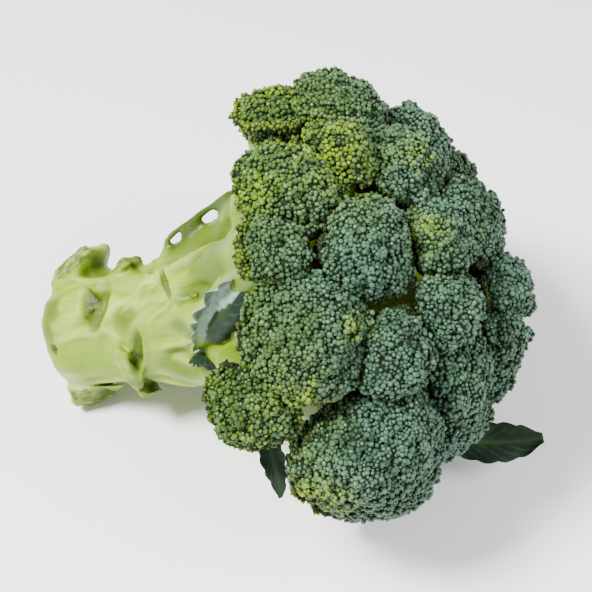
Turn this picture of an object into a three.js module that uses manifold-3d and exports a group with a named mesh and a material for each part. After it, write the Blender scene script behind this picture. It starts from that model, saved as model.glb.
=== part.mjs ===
// A head of broccoli, cut from its plant and lying on its side on a flat surface.
// Millimetres, +Z up. The cut end of the stalk is at -X and the crown is at +X, so the
// longest way across the head runs along X. The origin is under the middle of its box.
//
// The head is modelled as it grew, standing on its cut end: heights are measured along the
// stalk from the cut, `polar` is the angle between a floret and the stalk, and `turn` goes
// round the stalk from the side that lies uppermost. At the end it is laid down to rest.
import * as THREE from 'three';
import { ConvexHull } from 'three/addons/math/ConvexHull.js';
import { mergeVertices } from 'three/addons/utils/BufferGeometryUtils.js';
import Module from 'manifold-3d';

const wasm = await Module();
wasm.setup();

// Driving dimensions
const crownRadius = 75; // from the stalk's axis to the rim of the crown
const crownSag = 8; // how much less that is on the side that the head lies on
const crownDome = 58; // from the rim's plane to the top of the crown
const rimHeight = 112; // of the rim's plane above the cut
const forkHeight = 62; // where the lines of the florets meet on the stalk's axis
const stalkRadius = 20;
const stalkTop = 104; // where the stalk has gone over into the innermost stems
const spread = 1.2; // how much a bud head is larger than its place, so that it fills corners
const shoulder = 0.05; // how far the crown falls inside its oval between the top and the rim
const domeShare = 0.82; // height of a bud head above its centre, as a share of its radius
const underShare = 0.42; // depth of a bud head below its centre, as a share of its radius
const crease = 3; // how far the fold between two bud heads is rounded off
const gap = 0.3; // clearance where two pieces meet
const flatness = 0.1; // a stalk's or stem's surface may be this far from its full shape
const layTilt = 25; // degrees from the stalk to the surface, before the head settles

// Florets from the rim of the crown inwards. Each stem leaves the stalk's axis at `from`
// and carries one head or more, each given as [polar, turn, size], and how far it stands
// proud of the crown where it does.
const rimFlorets = [
  { from: 44, thick: 8.5, heads: [[49, 340, 15, 3], [60, 347, 12, 2]] },
  { from: 46, thick: 9.5, heads: [[50, 17, 15.5, -1], [52, 34, 11]] },
  { from: 42, thick: 9, heads: [[47, 58, 18]] },
  { from: 40, thick: 7, heads: [[61, 73, 12.5]] },
  { from: 45, thick: 9.5, heads: [[42, 106, 22.5, 5]] },
  { from: 41, thick: 8.5, heads: [[51, 131, 16.5]] },
  { from: 45, thick: 8.5, heads: [[52, 159, 17]] },
  { from: 41, thick: 8.5, heads: [[50, 190, 17.5]] },
  { from: 46, thick: 9, heads: [[53, 222, 18]] },
  { from: 41, thick: 8.5, heads: [[50, 254, 18]] },
  { from: 45, thick: 9, heads: [[53, 286, 17.5], [52, 313, 14, -3]] },
];
const middleFlorets = [
  { from: 68, thick: 6.5, heads: [[42, 1, 11.5], [31, 348, 14.5]] },
  { from: 70, thick: 6.5, heads: [[34, 31, 16]] },
  { from: 66, thick: 6.5, heads: [[31, 70, 14]] },
  { from: 68, thick: 6.5, heads: [[28, 146, 14], [34, 177, 14.5]] },
  { from: 70, thick: 6.5, heads: [[35, 208, 15.5], [34, 242, 15.5]] },
  { from: 67, thick: 6.5, heads: [[35, 278, 16], [35, 313, 14.5]] },
];
const innerFlorets = [
  { from: 84, thick: 5, heads: [[19, 20, 13], [14, 338, 12.5]] },
  { from: 86, thick: 5, heads: [[17, 58, 13], [19, 108, 14.5]] },
  { from: 88, thick: 5, heads: [[3, 200, 13], [8, 150, 12.5], [19, 172, 13], [17, 228, 14], [17, 284, 13.5, -3]] },
];

const lime = new THREE.Color(0.62, 0.72, 0.34);
const paleLime = new THREE.Color(0.72, 0.78, 0.48);
const budGreen = new THREE.Color(0.2, 0.33, 0.21);
const leafGreen = new THREE.Color(0.13, 0.24, 0.14);
const leafBloom = new THREE.Color(0.45, 0.55, 0.45);

const radians = THREE.MathUtils.degToRad;

// Unit vector at an angle `polar` from the stalk and `turn` round it, both in degrees.
function direction(polar, turn) {
  const away = Math.sin(radians(polar));
  const x = -away * Math.cos(radians(turn));
  const y = -away * Math.sin(radians(turn));
  return new THREE.Vector3(x, y, Math.cos(radians(polar)));
}

// Point at a height above the cut and a distance out from the stalk's axis.
function place(height, turn, out) {
  return direction(90, turn).multiplyScalar(out).setZ(height);
}

// ---------------------------------------------------------------- shapes and solids

// Moves each vertex of a three.js shape, once its seams are closed up.
function reshape(geometry, move) {
  geometry.deleteAttribute('normal');
  geometry.deleteAttribute('uv');
  const closed = mergeVertices(geometry, 1e-4);
  const position = closed.getAttribute('position');
  const vertex = new THREE.Vector3();
  for (let i = 0; i < position.count; i += 1) {
    vertex.fromBufferAttribute(position, i);
    vertex.copy(move(vertex));
    position.setXYZ(i, vertex.x, vertex.y, vertex.z);
  }
  return closed;
}

function solidOf(geometry) {
  return new wasm.Manifold(new wasm.Mesh({
    numProp: 3,
    vertProperties: Float32Array.from(geometry.getAttribute('position').array),
    triVerts: Uint32Array.from(geometry.getIndex().array),
  }));
}

function geometryOf(solid) {
  const { vertProperties, triVerts } = solid.getMesh();
  const geometry = new THREE.BufferGeometry();
  geometry.setAttribute('position', new THREE.BufferAttribute(vertProperties, 3));
  geometry.setIndex(new THREE.BufferAttribute(triVerts, 1));
  geometry.computeVertexNormals();
  return geometry;
}

function joined(solids) {
  return solids.reduce((whole, piece) => whole.add(piece));
}

// What is left of a solid after its cuts: fewer triangles where its surface is flat, and
// none of the chips that the cuts set free.
function mainBodyOf(solid) {
  const largest = (pieces) => pieces.reduce((a, b) => (a.volume() > b.volume() ? a : b));
  const whole = largest(solid.decompose()).simplify(flatness);
  return largest(solidOf(reshape(geometryOf(whole), (v) => v)).decompose());
}

// Round or oval tube along a curve: `width` and `depth` give its half sizes at 0 to 1 along.
function tube(curve, width, depth, sides, steps) {
  const outward = curve.getPoint(1).sub(curve.getPoint(0)).setZ(0).normalize();
  const level = new THREE.Vector3(-outward.y, outward.x, 0);
  return reshape(new THREE.CylinderGeometry(1, 1, 1, sides, steps), (v) => {
    const t = v.y + 0.5;
    const along = curve.getTangent(t);
    const across = new THREE.Vector3().crossVectors(along, level).normalize();
    const side = new THREE.Vector3().crossVectors(along, across);
    return curve.getPoint(t).addScaledVector(side, v.x * width(t))
      .addScaledVector(across, v.z * depth(t));
  });
}

function taper(start, end) {
  return (t) => THREE.MathUtils.lerp(start, end, t);
}

// ---------------------------------------------------------------- bud heads

// Where a line from the fork meets the smooth outline of the whole crown.
function crownTip(polar, turn) {
  const ray = direction(polar, turn);
  const under = Math.max(0, -Math.cos(radians(turn)));
  const across = crownRadius - crownSag * under;
  const start = new THREE.Vector3(0, 0, (forkHeight - rimHeight) / crownDome);
  const step = new THREE.Vector3(ray.x / across, ray.y / across, ray.z / crownDome);
  const half = start.dot(step) / step.lengthSq();
  const reach = -half + Math.sqrt(half * half + (1 - start.lengthSq()) / step.lengthSq());
  const fall = 1 - shoulder * Math.sin(radians(3 * polar)) ** 2;
  const tip = ray.clone().multiplyScalar(reach * fall);
  tip.z += forkHeight;
  const outward = new THREE.Vector3(tip.x / across ** 2, tip.y / across ** 2,
    (tip.z - rimHeight) / crownDome ** 2).normalize();
  return { tip, facing: ray.add(outward).normalize() };
}

function budHead([polar, turn, size, proud = 0]) {
  const { tip, facing } = crownTip(polar, turn);
  const radius = size * spread;
  const centre = tip.clone().addScaledVector(facing, proud - domeShare * radius);
  return { centre, facing, radius, polar, turn };
}

function smoothMin(a, b, width) {
  const blend = Math.max(width - Math.abs(a - b), 0) / width;
  return Math.min(a, b) - (blend * blend * width) / 4;
}

// Low swellings of the bud surface, a few to each head.
function swelling(head, ray) {
  const phase = head.turn * 0.7 + head.polar;
  return 0.035 * (Math.sin(5 * ray.x + phase) + Math.sin(6 * ray.y - phase)
    + Math.sin(5.5 * ray.z + 2 * phase));
}

// Distance from a head's centre to its surface. The dome is flattened below, and stops
// short of the plane in which it would run into each neighbour.
function headReach(head, ray) {
  const up = ray.dot(head.facing);
  const across = Math.sqrt(Math.max(0, 1 - up * up));
  const tall = head.radius * (up > 0 ? domeShare : underShare);
  let reach = (1 + swelling(head, ray)) / Math.hypot(across / head.radius, up / tall);
  for (const { wall, distance } of head.walls) {
    const slope = ray.dot(wall);
    if (slope > 0.08) reach = smoothMin(reach, (distance - gap / 2) / slope, crease);
  }
  return reach;
}

// Planes halfway between a head and its neighbours, nearer to the smaller of the two.
function findWalls(head, heads) {
  head.walls = [];
  for (const other of heads) {
    const wall = other.centre.clone().sub(head.centre);
    const apart = wall.length();
    if (other === head || apart > 1.25 * (head.radius + other.radius)) continue;
    const distance = (apart ** 2 + head.radius ** 2 - other.radius ** 2) / (2 * apart);
    head.walls.push({ wall: wall.divideScalar(apart), distance });
  }
}

function headShape(head, extra) {
  const detail = head.radius > 22.5 ? 3 : 2;
  return reshape(new THREE.IcosahedronGeometry(1, detail), (v) => {
    const ray = v.clone().normalize();
    return head.centre.clone().addScaledVector(ray, headReach(head, ray) + extra);
  });
}

// ---------------------------------------------------------------- stalk

// Radius of the stalk from its cut end up, as [height, radius].
const stalkProfile = [
  [0, stalkRadius - 2.2], [1.2, stalkRadius - 0.6], [6, stalkRadius + 0.6],
  [16, stalkRadius], [28, stalkRadius - 0.6], [38, stalkRadius + 0.2],
  [48, stalkRadius + 1.7], [58, stalkRadius + 1.2], [68, stalkRadius - 1.5],
  [78, stalkRadius - 5], [88, stalkRadius - 8], [97, stalkRadius - 10.5],
  [stalkTop, stalkRadius - 12.5],
];

// Stumps of the leaf stalks that were trimmed off: each leans to the crown, and its cut face
// is `out` from the axis, about `height` above the cut end. Half sizes across and along it.
const stumps = [
  { turn: 328, height: 9, out: 29, width: 10, depth: 6 },
  { turn: 143, height: 10, out: 28, width: 9, depth: 6 },
  { turn: 235, height: 21, out: 25, width: 9, depth: 5.5 },
  { turn: 25, height: 18, out: 22.4, width: 6.5, depth: 5.5 },
  { turn: 335, height: 31, out: 23.5, width: 6, depth: 3 },
  { turn: 92, height: 33, out: 22.4, width: 10, depth: 2.6 },
  { turn: 138, height: 32, out: 24.5, width: 5, depth: 3 },
  { turn: 13, height: 47, out: 24.5, width: 5, depth: 3 },
];

// Shoulders where the lowest florets part from the stalk. Each rises from inside it through
// a foot, a knee and a top, given as [height above the cut end, distance from the axis].
const shoulders = [
  { turn: 322, foot: [27, 6], knee: [47, 16.5], top: [68, 26.5], radius: 9.5 },
  { turn: 6, foot: [34, 8], knee: [50, 15], top: [66, 22], radius: 8.5 },
  { turn: 50, foot: [36, 8], knee: [50, 13], top: [64, 19], radius: 8 },
  { turn: 106, foot: [34, 8], knee: [50, 14], top: [66, 20], radius: 8 },
  { turn: 165, foot: [36, 8], knee: [52, 14], top: [68, 20], radius: 8.5 },
  { turn: 232, foot: [34, 8], knee: [50, 14], top: [66, 21], radius: 9 },
  { turn: 280, foot: [34, 8], knee: [50, 15], top: [66, 22], radius: 8.5 },
];

// Ribs run up the stalk and swell towards the branches.
function rib(height, angle) {
  const rise = THREE.MathUtils.smoothstep(height, 10, 60);
  return 1 + (0.012 + 0.04 * rise) * Math.cos(5 * angle + 0.02 * height)
    + 0.02 * Math.cos(2 * angle + 1);
}

function stalkShape(extra) {
  const outline = stalkProfile.map(([height, radius]) => (
    new THREE.Vector2(radius + extra, height)));
  const closed = [new THREE.Vector2(0, -extra), ...outline];
  closed[1].y -= extra;
  closed.push(new THREE.Vector2(0, stalkTop + 1 + extra));
  return reshape(new THREE.LatheGeometry(closed, 20), (v) => {
    const swell = rib(v.y, Math.atan2(v.z, v.x));
    return new THREE.Vector3(v.x * swell, -v.z * swell, v.y);
  });
}

// An oval tube that is cut off level with the butt and at `out` from the stalk's axis.
function stumpSolid({ turn, height, out, width, depth }, extra) {
  const lean = 8;
  const path = new THREE.LineCurve3(place(height - out + lean, turn, lean),
    place(height + lean, turn, out + lean));
  const round = (half) => () => half + extra;
  const block = new THREE.BoxGeometry(2 * (out + extra), 4 * width, 2 * stalkTop);
  block.translate(0, 0, stalkTop - extra);
  block.rotateZ(radians(turn));
  return solidOf(tube(path, round(width), round(depth), 10, 1))
    .intersect(solidOf(reshape(block, (v) => v)));
}

function shoulderSolid({ turn, foot, knee, top, radius }, extra) {
  const [start, middle, end] = [foot, knee, top].map(([height, out]) => place(height, turn, out));
  const path = new THREE.QuadraticBezierCurve3(start, middle, end);
  const half = (t) => radius * (1 - 0.12 * t) + extra;
  return solidOf(tube(path, half, half, 10, 4));
}

function stalkSolid(extra) {
  const lobes = shoulders.map((shoulder) => shoulderSolid(shoulder, extra));
  const cut = stumps.map((stump) => stumpSolid(stump, extra));
  return joined([solidOf(stalkShape(extra)), ...lobes, ...cut]);
}

// ---------------------------------------------------------------- stems

// A stem rises steeply at first and then bends outwards, under the heads that it carries.
function stemTubes(floret, extra) {
  const heads = floret.heads;
  const foot = new THREE.Vector3(0, 0, floret.from);
  const middle = new THREE.Vector3();
  for (const head of heads) middle.addScaledVector(head.centre, 1 / heads.length);
  const span = middle.clone().sub(foot);
  const lean = THREE.MathUtils.radToDeg(span.angleTo(new THREE.Vector3(0, 0, 1)));
  const turn = THREE.MathUtils.radToDeg(Math.atan2(-span.y, -span.x));
  const bend = foot.clone().addScaledVector(direction(lean * 0.62, turn), span.length() * 0.5);
  const whole = new THREE.QuadraticBezierCurve3(foot, bend, middle);
  const fork = whole.getPoint(0.62);
  const trunk = new THREE.QuadraticBezierCurve3(foot, foot.clone().lerp(bend, 0.62), fork);
  const sides = floret.thick > 6.6 ? 7 : 5;
  const size = (share) => (t) => floret.thick * share(t) + extra;
  const tubes = [tube(trunk, size(taper(1.08, 0.9)), size(taper(0.92, 0.82)), sides, 2)];
  const onward = whole.getTangent(0.62);
  for (const head of heads) {
    const share = heads.length > 1 ? 0.84 : 1;
    const start = fork.clone().addScaledVector(onward, -3);
    const bow = start.clone().addScaledVector(onward, start.distanceTo(head.centre) * 0.45);
    const limb = new THREE.QuadraticBezierCurve3(start, bow, head.centre);
    const flare = size((t) => share * (0.86 + 0.5 * t * t));
    tubes.push(tube(limb, flare, flare, sides, 2));
  }
  return tubes;
}

function stemSolid(floret, extra) {
  return joined(stemTubes(floret, extra).map(solidOf));
}

// ---------------------------------------------------------------- leaves

// Thin leaf along a curve. `width` is its full width at 0 to 1 along, `lie` points across
// it, and `cup` lifts its two edges.
function leafShape({ points, width, lie, cup, thickness }) {
  const curve = new THREE.CatmullRomCurve3(points);
  return reshape(new THREE.BoxGeometry(1, 1, 1, 4, 8, 1), (v) => {
    const t = v.y + 0.5;
    const along = curve.getTangent(t);
    const face = new THREE.Vector3().crossVectors(lie, along).normalize();
    const side = new THREE.Vector3().crossVectors(along, face);
    return curve.getPoint(t).addScaledVector(side, v.x * width(t))
      .addScaledVector(face, v.z * thickness + cup * width(t) * 4 * v.x * v.x);
  });
}

// Narrow at the stalk, widest past the middle, and blunt at the tip.
function blade(stalkWidth, fullWidth, tipWidth) {
  return (t) => {
    const opening = THREE.MathUtils.smoothstep(t, 0.1, 0.6);
    const closing = THREE.MathUtils.smoothstep(t, 0.72, 1);
    return THREE.MathUtils.lerp(THREE.MathUtils.lerp(stalkWidth, fullWidth, opening), tipWidth, closing);
  };
}

const leaves = [
  {
    name: 'leaf_curled',
    points: [place(62, 70, 26), place(72, 62, 31), place(83, 46, 34), place(93, 30, 38)],
    width: blade(4, 12, 5), lie: new THREE.Vector3(-0.5, 0.2, 0.8), cup: 0.5, thickness: 1.1,
    color: leafBloom,
  },
  {
    name: 'leaf_folded',
    points: [place(64, 84, 27), place(71, 80, 32), place(79, 75, 35)],
    width: blade(4, 8, 4), lie: new THREE.Vector3(0.9, 0, 0.3), cup: 0.45, thickness: 1.1,
    color: leafGreen,
  },
  {
    name: 'leaf_hanging',
    points: [place(93, 84, 52), place(99, 88, 60), place(99, 97, 65), place(96, 106, 68)],
    width: blade(3, 7, 2.5), lie: new THREE.Vector3(0.3, -0.4, 0.8), cup: 0.2, thickness: 1.1,
    color: leafGreen,
  },
  {
    name: 'leaf_low',
    points: [place(120, 172, 55), place(132, 172, 62), place(144, 174, 65), place(156, 179, 68)],
    width: blade(4, 12, 8), lie: new THREE.Vector3(0.1, 1, 0.1), cup: 0.12, thickness: 1.2,
    color: leafGreen,
  },
  {
    name: 'side_shoot',
    points: [place(53, 331, 25), place(55.5, 331, 31.5), place(63, 332, 37), place(75, 335, 41)],
    width: blade(4, 3, 4), lie: new THREE.Vector3(0, 1, 0), cup: 0.1, thickness: 2.6,
    color: lime,
  },
];

// ---------------------------------------------------------------- assembly

function mesh(name, solid, color, roughness) {
  const material = new THREE.MeshStandardMaterial({ color, roughness, metalness: 0 });
  const piece = new THREE.Mesh(geometryOf(solid), material);
  piece.name = name;
  return piece;
}

function numbered(stem, index) {
  return `${stem}_${String(index + 1).padStart(2, '0')}`;
}

const florets = [...rimFlorets, ...middleFlorets, ...innerFlorets].map((floret) => ({
  ...floret,
  heads: floret.heads.map(budHead),
}));
const heads = florets.flatMap((floret) => floret.heads);
heads.forEach((head) => findWalls(head, heads));

const stalk = mainBodyOf(stalkSolid(0));
const taken = [stalkSolid(gap), ...heads.map((head) => solidOf(headShape(head, 2 * gap)))];
const stems = florets.map((floret) => {
  const stem = mainBodyOf(stemSolid(floret, 0).subtract(joined(taken)));
  taken.push(stemSolid(floret, gap));
  return stem;
});
const allTaken = joined(taken);

const grown = new THREE.Group();
grown.add(mesh('main_stalk', stalk, paleLime, 0.5));
stems.forEach((stem, i) => grown.add(mesh(numbered('floret_stem', i), stem, lime, 0.5)));
heads.forEach((head, i) => {
  grown.add(mesh(numbered('bud_head', i), solidOf(headShape(head, 0)), budGreen, 0.85));
});
for (const leaf of leaves) {
  const solid = mainBodyOf(solidOf(leafShape(leaf)).subtract(allTaken));
  grown.add(mesh(leaf.name, solid, leaf.color, 0.6));
}

// ---------------------------------------------------------------- laying it down

function allPoints(group) {
  return group.children.flatMap((piece) => {
    const position = piece.geometry.getAttribute('position');
    return Array.from({ length: position.count }, (_, i) => (
      new THREE.Vector3().fromBufferAttribute(position, i)));
  });
}

// Centre of mass, with every piece equally dense: a sum over a fan of tetrahedra.
function centreOfMass(group) {
  const sum = new THREE.Vector3();
  let volume = 0;
  for (const { geometry } of group.children) {
    const position = geometry.getAttribute('position');
    const index = geometry.getIndex();
    for (let i = 0; i < index.count; i += 3) {
      const [a, b, c] = [0, 1, 2].map((k) => (
        new THREE.Vector3().fromBufferAttribute(position, index.getX(i + k))));
      const part = a.dot(new THREE.Vector3().crossVectors(b, c)) / 6;
      volume += part;
      sum.addScaledVector(a.add(b).add(c), part / 4);
    }
  }
  return sum.divideScalar(volume);
}

// Face of the hull under a point: the first that a line straight down comes out through.
function faceUnder(hull, point) {
  let nearest = null;
  let shortest = Infinity;
  for (const face of hull.faces) {
    const drop = (face.constant - face.normal.dot(point)) / -face.normal.z;
    if (face.normal.z < 0 && drop < shortest) {
      shortest = drop;
      nearest = face;
    }
  }
  return nearest;
}

// Turn about the vertical that brings the stalk's axis in line with X.
function squareUp(turned) {
  const axis = new THREE.Vector3(0, 0, 1).applyQuaternion(turned);
  return new THREE.Quaternion().setFromAxisAngle(
    new THREE.Vector3(0, 0, 1), -Math.atan2(axis.y, axis.x));
}

// Rolls the group onto the hull face under its centre of mass, until it stays on one.
function settle(group, startTurn) {
  const down = new THREE.Vector3(0, 0, -1);
  const points = allPoints(group);
  const centre = centreOfMass(group);
  const total = new THREE.Quaternion();
  let roll = startTurn;
  for (let i = 0; i < 12; i += 1) {
    points.forEach((point) => point.applyQuaternion(roll));
    centre.applyQuaternion(roll);
    total.premultiply(roll);
    const face = faceUnder(new ConvexHull().setFromPoints(points), centre);
    roll = new THREE.Quaternion().setFromUnitVectors(face.normal.clone().normalize(), down);
  }
  const square = squareUp(total);
  total.premultiply(square);
  points.forEach((point) => point.applyQuaternion(square));
  const box = new THREE.Box3().setFromPoints(points);
  const middle = box.getCenter(new THREE.Vector3());
  group.quaternion.copy(total);
  group.position.set(-middle.x, -middle.y, -box.min.z);
}

const lieDown = new THREE.Quaternion().setFromAxisAngle(
  new THREE.Vector3(0, 1, 0), radians(90 - layTilt));
settle(grown, lieDown);

const broccoli = new THREE.Group();
broccoli.add(grown);

export default broccoli;
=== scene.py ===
# %% [markdown]
# # A head of broccoli in Blender
# The head is one grown thing: a thick stalk that forks, and forks again, until each fork
# ends in a flower bud. The CAD frame gives the places and sizes; this notebook grows the
# looks round it: a smooth stalk, thousands of buds, and a few small leaves.

# %% Start: load the CAD frame
import math

import bmesh
import bpy
import numpy as np
from mathutils import Matrix, Vector, noise
from mathutils.bvhtree import BVHTree
from mathutils.geometry import interpolate_bezier


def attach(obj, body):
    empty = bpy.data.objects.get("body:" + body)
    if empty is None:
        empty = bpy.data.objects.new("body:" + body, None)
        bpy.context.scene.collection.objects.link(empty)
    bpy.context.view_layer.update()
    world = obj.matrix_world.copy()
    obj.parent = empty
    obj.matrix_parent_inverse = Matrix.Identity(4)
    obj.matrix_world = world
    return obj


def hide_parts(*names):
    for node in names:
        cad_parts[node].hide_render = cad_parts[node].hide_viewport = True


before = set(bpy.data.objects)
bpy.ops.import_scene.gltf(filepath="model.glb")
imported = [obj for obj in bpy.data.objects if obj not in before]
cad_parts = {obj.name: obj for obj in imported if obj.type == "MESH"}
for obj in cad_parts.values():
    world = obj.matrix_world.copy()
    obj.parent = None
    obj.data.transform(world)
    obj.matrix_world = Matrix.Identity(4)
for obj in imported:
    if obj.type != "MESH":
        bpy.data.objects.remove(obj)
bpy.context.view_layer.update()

MM = 0.001
heads = sorted(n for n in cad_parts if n.startswith("bud_head"))
stems = sorted(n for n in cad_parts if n.startswith("floret_stem"))
rng = np.random.default_rng(7)

# %% [markdown]
# ## Finding one's way round the head
# Everything on the stalk is easier to place along it and round it than in x, y and z. So
# `place` takes a height above the cut, a turn round the stalk (0 is uppermost) and a
# distance out from its axis.

# %% Directions along and round the stalk
# The middle of the cut butt, the way the stalk points as the head lies, and its fork
BUTT = Vector((-81.16, -1.06, 22.64)) * MM
AXIS = Vector((0.92875, 0, 0.3707)).normalized()
UP = Vector((-AXIS.z, 0, AXIS.x))
SIDE = Vector((0, -1, 0))
FORK_HEIGHT = 62
FORK = BUTT + AXIS * FORK_HEIGHT * MM


def round_stalk(turn):
    """The direction straight out from the stalk at a turn in degrees."""
    a = math.radians(turn)
    return UP * math.cos(a) + SIDE * math.sin(a)


def place(height, turn, out):
    """The point at a height and a distance out, in mm, and a turn in degrees."""
    return BUTT + AXIS * height * MM + round_stalk(turn) * out * MM


def outward(polar, turn):
    """A direction away from the fork, `polar` degrees off the line of the stalk."""
    a = math.radians(polar)
    return AXIS * math.cos(a) + round_stalk(turn) * math.sin(a)


print("the fork is at", [round(1000 * c, 1) for c in FORK])

# %% [markdown]
# ## Small helpers
# A mesh made from lists of points and faces, an attribute written on it, and a copy of a
# CAD node whose split corners are merged. The CAD nodes themselves are left alone.

# %% Mesh helpers
def new_object(name, mesh):
    obj = bpy.data.objects.new(name, mesh)
    bpy.context.scene.collection.objects.link(obj)
    return obj


def mesh_from(name, points, faces):
    mesh = bpy.data.meshes.new(name)
    mesh.from_pydata([tuple(p) for p in points], [], [tuple(f) for f in faces])
    mesh.update()
    return mesh


def merged_copy(node):
    bm = bmesh.new()
    bm.from_mesh(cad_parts[node].data)
    bmesh.ops.remove_doubles(bm, verts=bm.verts, dist=1e-6)
    mesh = bpy.data.meshes.new(node + "_copy")
    bm.to_mesh(mesh)
    bm.free()
    return mesh


def points_of(mesh):
    co = np.zeros(len(mesh.vertices) * 3, np.float32)
    mesh.vertices.foreach_get("co", co)
    return co.reshape(-1, 3).astype(float)


def normals_of(mesh):
    no = np.zeros(len(mesh.vertices) * 3, np.float32)
    mesh.vertex_normals.foreach_get("vector", no)
    return no.reshape(-1, 3).astype(float)


def set_points(mesh, points):
    mesh.vertices.foreach_set("co", np.asarray(points, np.float32).ravel())
    mesh.update()


def write(mesh, name, values):
    layer = mesh.attributes.get(name) or mesh.attributes.new(name, "FLOAT", "POINT")
    layer.data.foreach_set("value", np.asarray(values, np.float32))


def bumps(points, size, seed):
    """Soft noise from -1 to 1 at each point; `size` is in mm."""
    shift = Vector((seed * 17.3, seed * 5.1, -seed * 9.7))
    scale = 1 / (size * MM)
    return np.array([noise.noise(Vector(p) * scale + shift) for p in points])


def evaluated(obj):
    """The object's mesh with its modifiers worked out."""
    graph = bpy.context.evaluated_depsgraph_get()
    return bpy.data.meshes.new_from_object(obj.evaluated_get(graph))


def baked(obj):
    """Turns the modifiers of an object into plain mesh."""
    mesh = evaluated(obj)
    obj.modifiers.clear()
    obj.data = mesh
    return obj


def smooth(mesh):
    mesh.shade_smooth()
    return mesh


copies = {node: merged_copy(node) for node in heads + stems + ["main_stalk", "side_shoot"]}
print("merged copies:", sum(len(m.polygons) for m in copies.values()), "faces")

# %% [markdown]
# ## Node helpers
# Shader and geometry trees are written as code here, so each common step has a short
# name. `node` adds any node and fills its inputs, `link` joins two sockets, and `math`
# adds a Math node. `span` maps one range of a value to another, `blend` mixes two colours,
# `noise` makes soft noise, and `attribute` reads a value that is written on the mesh.

# %% Node helpers
class Tree:
    """A node tree that is built up call by call."""

    def __init__(self, tree):
        self.tree = tree

    def node(self, kind, inputs=None, **settings):
        made = self.tree.nodes.new(kind)
        for key, value in settings.items():
            setattr(made, key, value)
        for key, value in (inputs or {}).items():
            socket = made.inputs[key]
            if isinstance(value, bpy.types.NodeSocket):
                self.tree.links.new(value, socket)
            else:
                socket.default_value = value
        return made

    def link(self, start, end):
        self.tree.links.new(start, end)

    def math(self, operation, a, b, clamp=False):
        return self.node("ShaderNodeMath", {0: a, 1: b}, operation=operation,
                         use_clamp=clamp).outputs[0]

    def span(self, value, low, high, new_low=0.0, new_high=1.0):
        """Maps low..high of a value to new_low..new_high, with soft ends."""
        return self.node("ShaderNodeMapRange", {
            "Value": value, "From Min": low, "From Max": high,
            "To Min": new_low, "To Max": new_high}, interpolation_type="SMOOTHSTEP").outputs[0]

    def blend(self, factor, a, b):
        """Colour a where the factor is 0, and colour b where it is 1."""
        made = self.node("ShaderNodeMix", data_type="RGBA")
        for index, value in ((0, factor), (6, a), (7, b)):
            if isinstance(value, bpy.types.NodeSocket):
                self.link(value, made.inputs[index])
            else:
                made.inputs[index].default_value = value
        return made.outputs[2]

    def noise(self, place, scale, detail=3.0, roughness=0.5):
        return self.node("ShaderNodeTexNoise", {
            "Vector": place, "Scale": scale, "Detail": detail,
            "Roughness": roughness}).outputs["Fac"]

    def attribute(self, name):
        return self.node("ShaderNodeAttribute", attribute_name=name).outputs["Fac"]


def rgb(r, g, b):
    return (r, g, b, 1.0)


def material(name):
    """A new material, its tree, and the one shader whose inputs the tree feeds."""
    made = bpy.data.materials.new(name)
    made.use_nodes = True
    made.node_tree.nodes.clear()
    tree = Tree(made.node_tree)
    shader = tree.node("ShaderNodeBsdfPrincipled")
    output = tree.node("ShaderNodeOutputMaterial")
    tree.link(shader.outputs[0], output.inputs["Surface"])
    return made, tree, shader


print("helpers ready")

# %% [markdown]
# ## Shared effects
# Two effects turn up on every part of the plant, so each is a node group. *Mottle* mixes
# three greens in soft patches. *Wax bloom* gives the mask of the pale bluish film that
# rubs off unevenly.

# %% Node groups: mottle and wax bloom
def group(name, inputs, outputs):
    """A node group: the group, its tree, the sockets it is given and those it fills."""
    made = bpy.data.node_groups.new(name, "ShaderNodeTree")
    for label, kind, value in inputs:
        socket = made.interface.new_socket(label, in_out="INPUT", socket_type=kind)
        if value is not None:
            socket.default_value = value
    for label, kind in outputs:
        made.interface.new_socket(label, in_out="OUTPUT", socket_type=kind)
    tree = Tree(made)
    return made, tree, tree.node("NodeGroupInput").outputs, tree.node("NodeGroupOutput").inputs


mottle, t, given, result = group("Mottle", [
    ("Place", "NodeSocketVector", None), ("Scale", "NodeSocketFloat", 60.0),
    ("Main", "NodeSocketColor", rgb(0.4, 0.5, 0.2)),
    ("Pale", "NodeSocketColor", rgb(0.6, 0.65, 0.4)),
    ("Rich", "NodeSocketColor", rgb(0.3, 0.45, 0.08))],
    [("Color", "NodeSocketColor")])
broad = t.noise(given["Place"], given["Scale"], 4.0, 0.6)
other = t.noise(given["Place"], t.math("MULTIPLY", given["Scale"], 2.7), 4.0, 0.6)
paled = t.blend(t.span(broad, 0.45, 0.68), given["Main"], given["Pale"])
t.link(t.blend(t.span(other, 0.5, 0.72), paled, given["Rich"]), result["Color"])

bloom, t, given, result = group("Wax bloom", [
    ("Place", "NodeSocketVector", None), ("Amount", "NodeSocketFloat", 0.5)],
    [("Mask", "NodeSocketFloat")])
film = t.noise(given["Place"], 55.0, 5.0, 0.65)
rubbed = t.noise(given["Place"], 420.0, 2.0, 0.6)
mask = t.math("MULTIPLY", t.span(film, 0.35, 0.65), t.span(rubbed, 0.3, 0.6, 0.55, 1.0))
t.link(t.math("MULTIPLY", mask, given["Amount"], clamp=True), result["Mask"])


def use(tree, made, **inputs):
    """Puts a node group in a tree and gives its output."""
    node = tree.node("ShaderNodeGroup", node_tree=made)
    for key, value in inputs.items():
        socket = node.inputs[key.replace("_", " ")]
        if isinstance(value, bpy.types.NodeSocket):
            tree.link(value, socket)
        else:
            socket.default_value = value
    return node.outputs[0]


print("node groups:", mottle.name, "and", bloom.name)
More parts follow.
